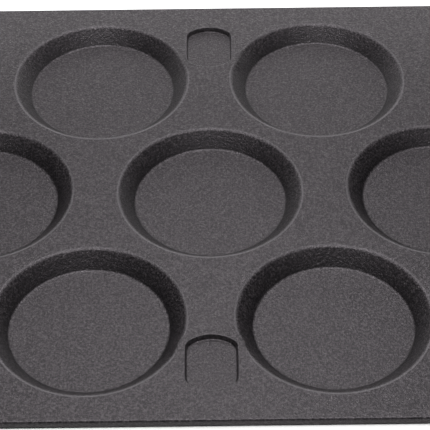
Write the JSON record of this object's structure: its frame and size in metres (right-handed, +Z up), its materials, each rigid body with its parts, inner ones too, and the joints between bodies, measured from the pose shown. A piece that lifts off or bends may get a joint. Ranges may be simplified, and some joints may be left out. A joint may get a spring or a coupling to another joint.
{
  "type": "donut maker",
  "caption": "Electric clamshell donut maker with a hinged lid, front latch and two dark non-stick plates of round flat wells.",
  "frame": {"origin": "on the table under the middle of the open object; the middle of the baking plates is 38.8 mm in front of it", "axes": "+Z up, -Y towards the handles and the user, +Y towards the hinge, X along the hinge axis"},
  "size_m": [0.296, 0.3989, 0.3775],
  "materials": {
    "non_stick_plate": "cast aluminium under a matt dark grey non-stick coating with fine pale flecks",
    "white_housing": "white heat-resistant plastic, satin",
    "grey_plastic": "mid grey plastic, satin",
    "reflector_tray": "aluminised sheet steel",
    "heater_tube": "heat-darkened steel sheath",
    "hinge_steel": "satin steel",
    "spring_steel": "plain spring strip",
    "screw_steel": "zinc-plated steel",
    "ceramic_body": "unglazed cream ceramic",
    "silicone_sleeve": "red-brown silicone sleeve",
    "rubber_foot": "dark grey rubber",
    "red_lens": "clear red lens",
    "green_lens": "clear green lens"
  },
  "bodies": {
    "base": {"base_housing": "white_housing", "base_bottom_cover": "white_housing", "foot_front_left": "rubber_foot", "foot_front_right": "rubber_foot", "foot_rear_right": "rubber_foot", "foot_rear_left": "rubber_foot", "cover_screw_1": "screw_steel", "cover_screw_2": "screw_steel", "cover_screw_3": "screw_steel", "cover_screw_4": "screw_steel", "lower_baking_plate": "non_stick_plate", "lower_reflector": "reflector_tray", "lower_heater": "heater_tube", "lower_plate_screw_1": "screw_steel", "lower_plate_screw_2": "screw_steel", "lower_plate_screw_3": "screw_steel", "lower_plate_screw_4": "screw_steel", "thermostat": "ceramic_body", "thermostat_bracket": "spring_steel", "cord_inlet_bush": "grey_plastic", "terminal_block": "ceramic_body", "base_lead": "silicone_sleeve", "base_handle": "white_housing", "base_hinge_left": "hinge_steel", "base_hinge_right": "hinge_steel", "hinge_pin_left": "screw_steel", "hinge_pin_right": "screw_steel"},
    "lid": {"lid_cover": "white_housing", "lid_frame": "white_housing", "lid_frame_screw_1": "screw_steel", "lid_frame_screw_2": "screw_steel", "lid_frame_screw_3": "screw_steel", "lid_frame_screw_4": "screw_steel", "power_light_lens": "red_lens", "ready_light_lens": "green_lens", "lamp_holder": "grey_plastic", "upper_baking_plate": "non_stick_plate", "upper_reflector": "reflector_tray", "upper_heater": "heater_tube", "upper_plate_screw_1": "screw_steel", "upper_plate_screw_2": "screw_steel", "upper_plate_screw_3": "screw_steel", "upper_plate_screw_4": "screw_steel", "thermal_fuse": "ceramic_body", "thermal_fuse_clip": "spring_steel", "handle_lower_half": "white_housing", "handle_upper_half": "white_housing", "handle_screw_1": "screw_steel", "handle_screw_2": "screw_steel", "latch_pin": "screw_steel", "lid_hinge_left": "hinge_steel", "lid_hinge_right": "hinge_steel"},
    "latch": {"latch": "grey_plastic"}
  },
  "joints": [
    {"name": "lid_hinge", "type": "hinge", "parent": "base", "child": "lid", "pos_m": [0, 0.0955, 0.06225], "axis": [1, 0, 0], "range_deg": [0, 105]},
    {"name": "latch_swing", "type": "hinge", "parent": "lid", "child": "latch", "pos_m": [0, 0.18677, 0.34589], "axis": [1, 0, 0], "range_deg": [0, 20]}
  ]
}
